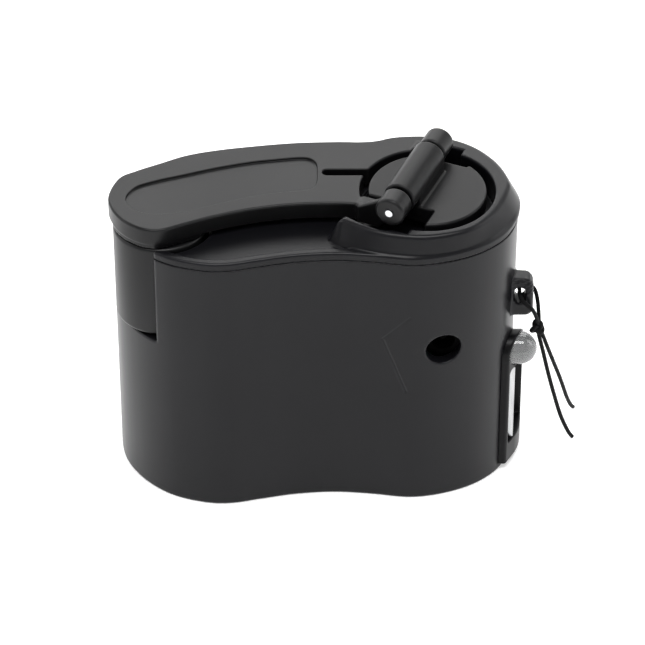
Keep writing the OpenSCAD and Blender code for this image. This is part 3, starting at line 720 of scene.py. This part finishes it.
step = 0.26
body = shaped(
    "case_body",
    body_field,
    spread((-30.4, step), 31.2),
    spread((-14.2, step), 14.8),
    spread((-0.5, 0.22), (2.6, 0.75), (24.3, 0.24), (34.3, 0.7), (42.2, 0.2), 43.7),
    M["case_plastic"],
    finer=[
        lambda v: (chevron_distance(v[:, 0], v[:, 2]) < 0.9) & (v[:, 1] < -10.5),
        lambda v: (chevron_distance(v[:, 0], v[:, 2]) < 0.6) & (v[:, 1] < -10.5),
    ],
)
finish_piece(body, "case", "black_case", "body_shell")


def faceplate_field(x, y, z):
    d = body_plan(x, y)
    p = rmax((x - 27.15) * 0.874 - (y + 6.0) * 0.486, (x - 29.15) * 0.991 - (y + 2.4) * 0.131, 0.5)
    p = rmax(p, x - 29.6, 0.2)
    # straight round the power socket, rounded over the lamp
    low = convex(y, z, [(-6, 1), (4, 1), (4, 18.3), (-1.22, 23.1), (-6, 21)], 0.3)
    shape = rmin(low, np.hypot(y + 3.15, z - 21.0) - 2.85, 0.1)
    p = rmax(p, shape, 0.3)
    p = rmax(p, -d - 0.05, 0.05)
    usb = rmax(slab(y, -5.4, 1.95), slab(z, 4.65, 18.25), 0.45)
    p = cut(p, usb, 0.2)
    return cut(p, np.hypot(y - LAMP_Y, z - LAMP_Z) - LAMP_R - 0.05, 0.25)


plate = shaped(
    "socket_faceplate",
    faceplate_field,
    spread((24.3, 0.16), 30.2),
    spread((-6.5, 0.16), 5.0),
    spread((0.6, 0.16), (2.0, 0.3), (17.4, 0.16), 24.7),
    M["trim_plastic"],
)
finish_piece(plate, "case", "black_trim", "faceplate")


def cover_field(x, y, z):
    d = body_plan(x, y)
    plate = rmax(rmax(d, z - DECK, 0.42), SEAM - z, 0.09)
    plate = cut(plate, rmax(d + 1.35, DECK - 0.6 - z, 0.3), 0.3)
    ring = np.maximum(rmax(d + WALL + 0.12, -(d + WALL + 1.1), 0.2), slab(z, SEAM - 2, SEAM + 0.5))
    ring = np.maximum(ring, -rmin(disc(x, y, GRIP, POCKET_R + 1.5), x + 22.3, 0.2))
    t = np.clip((z - 44.2) / 3.3, 0, 1)
    lean = (1 - t) * collar_low(x, y) + t * collar_high(x, y)
    rise = rmax(lean, z - COLLAR, 0.55)
    gap = arm_plan(x, y)
    for s in (0.8, 1.6, 2.4):
        gap = np.minimum(gap, arm_plan(x - s * UX, y - s * UY))
    u, v = uv(x, y)
    room = np.maximum(slab(u, -1.2, 6.2), slab(v, -10.7, 10.9))
    near = convex(x, y, [(3, -5.8), (5.3, -7.8), (8.1, -9.4), (11, -9.6), (11, -2), (4, -2)], 0.3)
    away = rmin(rmin(gap - 0.45, room, 0.3), near, 0.3)
    rise = cut(rise, away, 0.35)
    rise = np.maximum(rise, 43.6 - z)
    whole = rmin(np.minimum(plate, ring), rise, 0.35)
    whole = cut(whole, np.maximum(disc(x, y, HUB, GROOVE_R), DECK - 1.0 - z), 0.3)
    floor = np.maximum(disc(x, y, HUB, GROOVE_R + 0.2), slab(z, SEAM - 2.05, DECK - 1.0))
    whole = np.minimum(whole, np.maximum(floor, disc(x, y, HUB, 5.2) - 4.65))
    whole = np.minimum(whole, np.maximum(disc(x, y, HUB, 5.2), slab(z, SEAM - 2.05, DECK - 1.0)))
    whole = cut(whole, disc(x, y, HUB, 3.05), 0.15)
    return cut(whole, grip_room(x, y), 0.3)


cover = shaped(
    "top_cover_deck",
    cover_field,
    spread((-24.6, 0.22), 28.6),
    spread((-14.2, 0.22), 14.8),
    spread((40.9, 0.3), (43.0, 0.16), (45.1, 0.2), 47.9),
    M["case_plastic"],
)
finish_piece(cover, "case", "black_case", "top_cover")


# ---------------------------------------------------------------- crank
def barrel(u, v, z, r, v0, v1, fillet):
    return rmax(np.hypot(u - HINGE_U, z - HINGE_Z) - r, slab(v, v0, v1), fillet)


def hub_field(x, y, z):
    u, v = uv(x, y)
    d = rmax(disc(x, y, HUB, DISC_R), slab(z, ARM_Z, COLLAR), 0.3)
    near = rmax(slab(v, -13, -4.4), -2.7 - u, 0.3)
    far = rmax(slab(v, 7.25, 13), -3.2 - u, 0.3)
    d = cut(d, np.minimum(near, far), 0.3)
    saddle = box3(u, v, z, (HINGE_U - BARREL, -4.4, 46), (HINGE_U + BARREL, 5.0, HINGE_Z), 0.3)
    d = cut(d, barrel(u, v, z, BARREL, 5.3, 9, 0.1), 0.15)
    d = rmin(d, saddle, 0.35)
    d = rmin(d, barrel(u, v, z, BARREL, -6.45, 5.0, 0.3), 0.12)
    d = cut(d, np.hypot(u - HINGE_U, z - HINGE_Z) - PIN - 0.02, 0.12)
    spindle = np.maximum(disc(x, y, HUB, 3.0), slab(z, 41.0, DECK + 0.6))
    return np.minimum(d, spindle)


hub = shaped(
    "crank_hub_disc",
    hub_field,
    spread((6.0, 0.15), 24.0),
    spread((-8.9, 0.15), 8.9),
    spread((40.7, 0.5), (44.3, 0.15), 52.7),
    M["hub_plastic"],
)
finish_piece(hub, "hub", "black_case", "crank_hub")


def web(u, v, z, v0, v1, tip, r):
    """Plate from a knuckle down to the arm."""
    pts = [(HINGE_U, HINGE_Z), (HINGE_U, HINGE_Z - r), (HINGE_U + 2.65, ARM_Z)]
    pts += [(tip, ARM_Z), (tip, COLLAR), (HINGE_U + r, HINGE_Z)]
    return rmax(convex(u, z, pts, 0.15), slab(v, v0, v1), 0.25)


def arm_field(x, y, z):
    u, v = uv(x, y)
    plan = arm_plan(x, y)
    d = rmax(plan, z - COLLAR, 0.34)
    d = rmax(d, ARM_Z - z, 0.2)
    d = cut(d, disc(x, y, HUB, GROOVE_R), 0.3)
    d = rmin(d, box3(u, v, z, (4.4, -7.5, ARM_Z), (8.0, -4.9, COLLAR), 0.3), 0.3)
    boss = rmax(disc(x, y, GRIP, 6.9), slab(z, DECK - 0.3, ARM_Z + 0.6), 0.25)
    d = rmin(d, np.maximum(boss, plan + 0.05), 0.1)
    sunk = rmax(panel_plan(x, y), COLLAR - 0.35 - z, 0.12)
    d = cut(d, sunk, 0.14)
    key = np.hypot(np.maximum(np.maximum(0.7 - x, x - 8.0), 0), y - 4.2) - 0.7
    d = cut(d, key, 0.18)
    d = rmin(d, web(u, v, z, -7.8, -6.85, 7.6, 2.2), 0.25)
    d = rmin(d, web(u, v, z, 7.6, 8.5, 5.9, 2.1), 0.2)
    d = rmin(d, box3(u, v, z, (1.5, 7.6, ARM_Z), (5.9, 10.4, COLLAR), 0.3), 0.25)
    d = rmin(d, box3(u, v, z, (1.0, 7.6, COLLAR - 0.6), (2.5, 8.5, COLLAR + 0.6), 0.1), 0.1)
    ends = barrel(u, v, z, 2.2, -10.2, -6.85, 0.45)
    ends = np.minimum(ends, barrel(u, v, z, 2.1, 5.6, 9.2, 0.4))
    d = rmin(d, ends, 0.2)
    pin = np.hypot(u - HINGE_U, z - HINGE_Z)
    d = cut(d, np.maximum(pin - PIN - 0.06, -9.65 - v), 0.12)
    d = cut(d, pin - 0.6, 0.1)
    bore = np.maximum(disc(x, y, GRIP, 1.0), z - 46.6)
    return cut(d, bore, 0.1)


def near_panel(v):
    return (np.abs(panel_plan(v[:, 0], v[:, 1])) < 0.45) & (v[:, 2] > 46.8)


arm = shaped(
    "crank_arm_lever",
    arm_field,
    spread((-30.8, 0.2), 20.6),
    spread((-11.6, 0.2), 13.0),
    spread((43.9, 0.15), (45.2, 0.22), (46.8, 0.14), (47.9, 0.2), 52.7),
    M["crank_plastic"],
    finer=[near_panel],
)
finish_piece(arm, "arm", "black_case", "crank_arm")


def lathe(name, profile, centre, mat, steps, axis="Z"):
    """A turned piece: profile is (radius, height) points in order round its section."""
    verts, faces = [], []
    n = len(profile)
    for i in range(steps):
        a = 2 * math.pi * i / steps
        for r, h in profile:
            if axis == "Z":
                verts.append((centre[0] + r * math.cos(a), centre[1] + r * math.sin(a), h))
            else:
                verts.append((h, centre[0] + r * math.cos(a), centre[1] + r * math.sin(a)))
    for i in range(steps):
        for j in range(n):
            k = (j + 1) % n
            m = (i + 1) % steps
            faces.append((i * n + j, m * n + j, m * n + k, i * n + k))
    o = mesh_object(name, to_frame(np.array(verts)), faces, mat)
    bm = bmesh.new()
    bm.from_mesh(o.data)
    bmesh.ops.remove_doubles(bm, verts=bm.verts, dist=1e-7)
    bmesh.ops.dissolve_degenerate(bm, dist=1e-8, edges=bm.edges)
    bmesh.ops.recalc_face_normals(bm, faces=bm.faces)
    bm.to_mesh(o.data)
    bm.free()
    return o


def rounded(points, r, k=5):
    """Rounds the corners of a closed section of (radius, height) points, each by its own r, in k steps."""
    out = []
    n = len(points)
    for i, p in enumerate(points):
        rr = r[i]
        p = np.array(p, float)
        a, b = np.array(points[i - 1], float) - p, np.array(points[(i + 1) % n], float) - p
        la, lb = np.linalg.norm(a), np.linalg.norm(b)
        rr = min(rr, 0.45 * la, 0.45 * lb)
        if rr <= 0:
            out.append(tuple(p))
            continue
        s, e = p + a / la * rr, p + b / lb * rr
        for j in range(k + 1):
            t = j / k
            out.append(tuple((1 - t) ** 2 * s + 2 * t * (1 - t) * p + t * t * e))
    return out


grip_section = rounded(
    [(1.55, 31.2), (1.55, 44.0), (GRIP_R, 44.0), (GRIP_R, 28.6), (2.8, 28.6), (2.8, 31.2)],
    [0.05, 0.15, 0.6, 0.7, 0.25, 0.1],
)
grip = lathe("grip_barrel", grip_section, GRIP, M["crank_plastic"], 128)
finish_piece(grip, "grip", "black_case", "grip")


# ---------------------------------------------------------------- lamp
def lamp_glass():
    m, t, b = material("clear_lamp")
    coord = t.nodes.new("ShaderNodeTexCoord")
    wave = node(t, "ShaderNodeTexNoise", Scale=90.0, Detail=1.0)
    t.links.new(coord.outputs["Object"], wave.inputs["Vector"])
    tint = [(0.3, (0.93, 0.95, 0.95)), (0.7, (1, 1, 1))]
    t.links.new(ramp(t, wave.outputs[0], tint), b.inputs["Base Color"])
    t.links.new(ramp(t, wave.outputs[0], [(0.3, 0.03), (0.7, 0.05)]), b.inputs["Roughness"])
    lift = node(t, "ShaderNodeBump", Strength=0.05)
    lift.inputs["Distance"].default_value = 0.00002
    t.links.new(wave.outputs[0], lift.inputs["Height"])
    t.links.new(lift.outputs[0], b.inputs["Normal"])
    b.inputs["IOR"].default_value = 1.54
    b.inputs["Transmission Weight"].default_value = 0.86
    return m


M["clear_lamp"] = lamp_glass()
section = [(0.0, 22.7), (2.85, 22.7), (2.85, 23.7), (LAMP_R, 23.7)]
section = section[:1] + rounded(section[1:] + [(LAMP_R, 27.0)], [0.15, 0.15, 0.1, 0.0])
dome = np.linspace(0, math.pi / 2, 14)[:-1]
section += [(LAMP_R * math.cos(a), LAMP_TIP + LAMP_R * math.sin(a)) for a in dome]
section += [(0.0, LAMP_TIP + LAMP_R)]
lens = lathe("lamp_lens", section, (LAMP_Y, LAMP_Z), M["clear_lamp"], 64, "X")
finish_piece(lens, "case", "clear_lamp", "lamp")
cup_corners = [(0.0, 25.9), (0.55, 25.9), (1.0, 27.0), (0.85, 27.0), (0.45, 26.15), (0.0, 26.15)]
cup_section = rounded(cup_corners, [0, 0.05, 0.05, 0.05, 0.05, 0], 2)
cup = lathe("lamp_cup", cup_section, (LAMP_Y, LAMP_Z + 0.55), M["bright_steel"], 32, "X")
finish_piece(cup, "case", "bright_steel")


def bent(name, pts, radius, mat, sides=12):
    """An open round wire through the points, with flat ends."""
    pts = np.asarray(pts, float)
    n = len(pts)
    tan = np.gradient(pts, axis=0)
    tan /= np.linalg.norm(tan, axis=1)[:, None]
    u = np.cross(tan[0], [0.3, 0.2, 1.0])
    verts, faces = [], []
    for i in range(n):
        u = u - (u @ tan[i]) * tan[i]
        u /= np.linalg.norm(u)
        w = np.cross(tan[i], u)
        for k in range(sides):
            c = 2 * math.pi * k / sides
            verts.append(pts[i] + radius * (math.cos(c) * u + math.sin(c) * w))
    for i in range(n - 1):
        for k in range(sides):
            m = (k + 1) % sides
            faces.append((i * sides + k, i * sides + m, (i + 1) * sides + m, (i + 1) * sides + k))
    faces.append(tuple(range(sides)))
    faces.append(tuple((n - 1) * sides + k for k in range(sides)))
    return mesh_object(name, to_frame(np.array(verts)), faces, mat)


LEAD_PLAN = [(26.2, LAMP_Y), (23.5, LAMP_Y), (21.9, LAMP_Y)]
LEAD_PLAN += [(21.4, -2.9), (21.2, -2.5), (21.2, -1.0), (21.2, 1.65)]
for i, z in enumerate((19.9, 22.1)):
    path = [(x, y, z) for x, y in LEAD_PLAN]
    wire = bent(f"lamp_lead_{i + 1}", opened(path, 3), 0.25, M["bright_steel"])
    finish_piece(wire, "case", "bright_steel")

# ---------------------------------------------------------------- knot
# a trefoil pulled tight, its flat side across the two strands
round_knot = np.linspace(0, 2 * math.pi, 120, endpoint=False)
knot = np.stack(
    [
        0.40 * (np.sin(round_knot) + 2 * np.sin(2 * round_knot)),
        0.28 * -np.sin(3 * round_knot),
        0.32 * (np.cos(round_knot) - 2 * np.cos(2 * round_knot)),
    ],
    1,
)
turn = np.array(Matrix.Rotation(math.radians(20), 3, "Z") @ Matrix.Rotation(math.radians(70), 3, "Y"))
knot = knot @ turn.T + np.array([31.3, -2.5, 24.3])
knot_piece = tube("cord_knot", knot, 0.33, M["black_cord"], 12)
finish_piece(knot_piece, "case", "black_cord", "lanyard_knot")

# ---------------------------------------------------------------- finishes on the CAD nodes that stay
FINISH = {
    "bright_steel": [
        "case_screws", "plate_screws", "grip_screw", "spindle_screw", "hinge_pin", "gear_axles", "rotor_shaft",
    ],
    "white_nylon": ["drive_gear", "second_gear", "third_gear"],
    "grey_plate": ["gear_plate"],
    "can_steel": ["generator_case"],
    "core_steel": ["stator_core"],
    "copper_wire": ["coils"],
    "magnet_grey": ["rotor_magnet"],
    "bronze": ["rotor_pinion", "bushes"],
    "chip_black": ["terminal_block", "diodes", "regulator"],
    "wire_red": ["lead_wires"],
    "board_green": ["circuit_board"],
    "socket_steel": ["usb_shell"],
    "socket_white": ["usb_tongue"],
    "contact_gold": ["usb_contacts"],
    "jack_black": ["charge_jack"],
    "sleeve_blue": ["capacitor"],
}  # fmt: skip
for kind, names in FINISH.items():
    for name in names:
        me = NODES[name].data
        me.materials.clear()
        me.materials.append(M[kind])


# ---------------------------------------------------------------- stage and light
def stage():
    """A white floor that turns up into walls behind and at both sides."""
    m, t, b = material("stage_white")
    coord = t.nodes.new("ShaderNodeTexCoord")
    n = node(t, "ShaderNodeTexNoise", Scale=3.0, Detail=2.0)
    t.links.new(coord.outputs["Object"], n.inputs["Vector"])
    t.links.new(ramp(t, n.outputs[0], [(0.3, 0.93), (0.7, 0.95)]), b.inputs["Base Color"])
    b.inputs["Roughness"].default_value = 0.9
    b.inputs["Specular IOR Level"].default_value = 0.1
    b.inputs["Emission Color"].default_value = (1, 1, 1, 1)
    b.inputs["Emission Strength"].default_value = 0.32
    wide, deep, high, r = 3.0, 1.6, 2.2, 0.5

    def sweep(far):
        """The floor's edge and the wall it turns up into, as (distance, height)."""
        bend = [(far - r + r * math.sin(a), r - r * math.cos(a)) for a in np.linspace(0, math.pi / 2, 16)]
        return bend + [(far + 0.001, high)]

    across = [(-x, z) for x, z in reversed(sweep(wide))] + sweep(wide)
    along = [(-2.0, 0.0)] + sweep(deep)
    verts = [(x, y, max(zx, zy) - 0.00002) for x, zx in across for y, zy in along]
    n = len(along)
    corners = [i * n + j for i in range(len(across) - 1) for j in range(n - 1)]
    faces = [(c, c + n, c + n + 1, c + 1) for c in corners]
    o = mesh_object("stage_sweep", verts, faces, m)


stage()
world = bpy.data.worlds.new("studio")
scene.world = world
world.use_nodes = True
world.node_tree.nodes["Background"].inputs[0].default_value = (1, 1, 1, 1)
world.node_tree.nodes["Background"].inputs[1].default_value = 0.48


def softbox(name, at, size, power):
    """A rectangular light that faces the object."""
    d = bpy.data.lights.new(name, "AREA")
    d.shape = "RECTANGLE"
    d.size, d.size_y = size
    d.energy = power
    o = bpy.data.objects.new(name, d)
    scene.collection.objects.link(o)
    o.location = at
    o.rotation_mode = "QUATERNION"
    o.rotation_quaternion = (Vector((0, 0, 0.03)) - Vector(at)).to_track_quat("-Z", "Y")
    return o


softbox("back", (0, 1.10, 0.90), (1.6, 0.9), 9.6)
softbox("above", (0, -0.30, 0.95), (0.7, 0.3), 6.2)
softbox("left", (-0.9, 0.1, 0.6), (0.4, 0.6), 1.5)
softbox("right", (0.9, 0.1, 0.5), (0.4, 0.6), 1.5)
scene.view_settings.view_transform = "Standard"
scene.view_settings.look = "None"
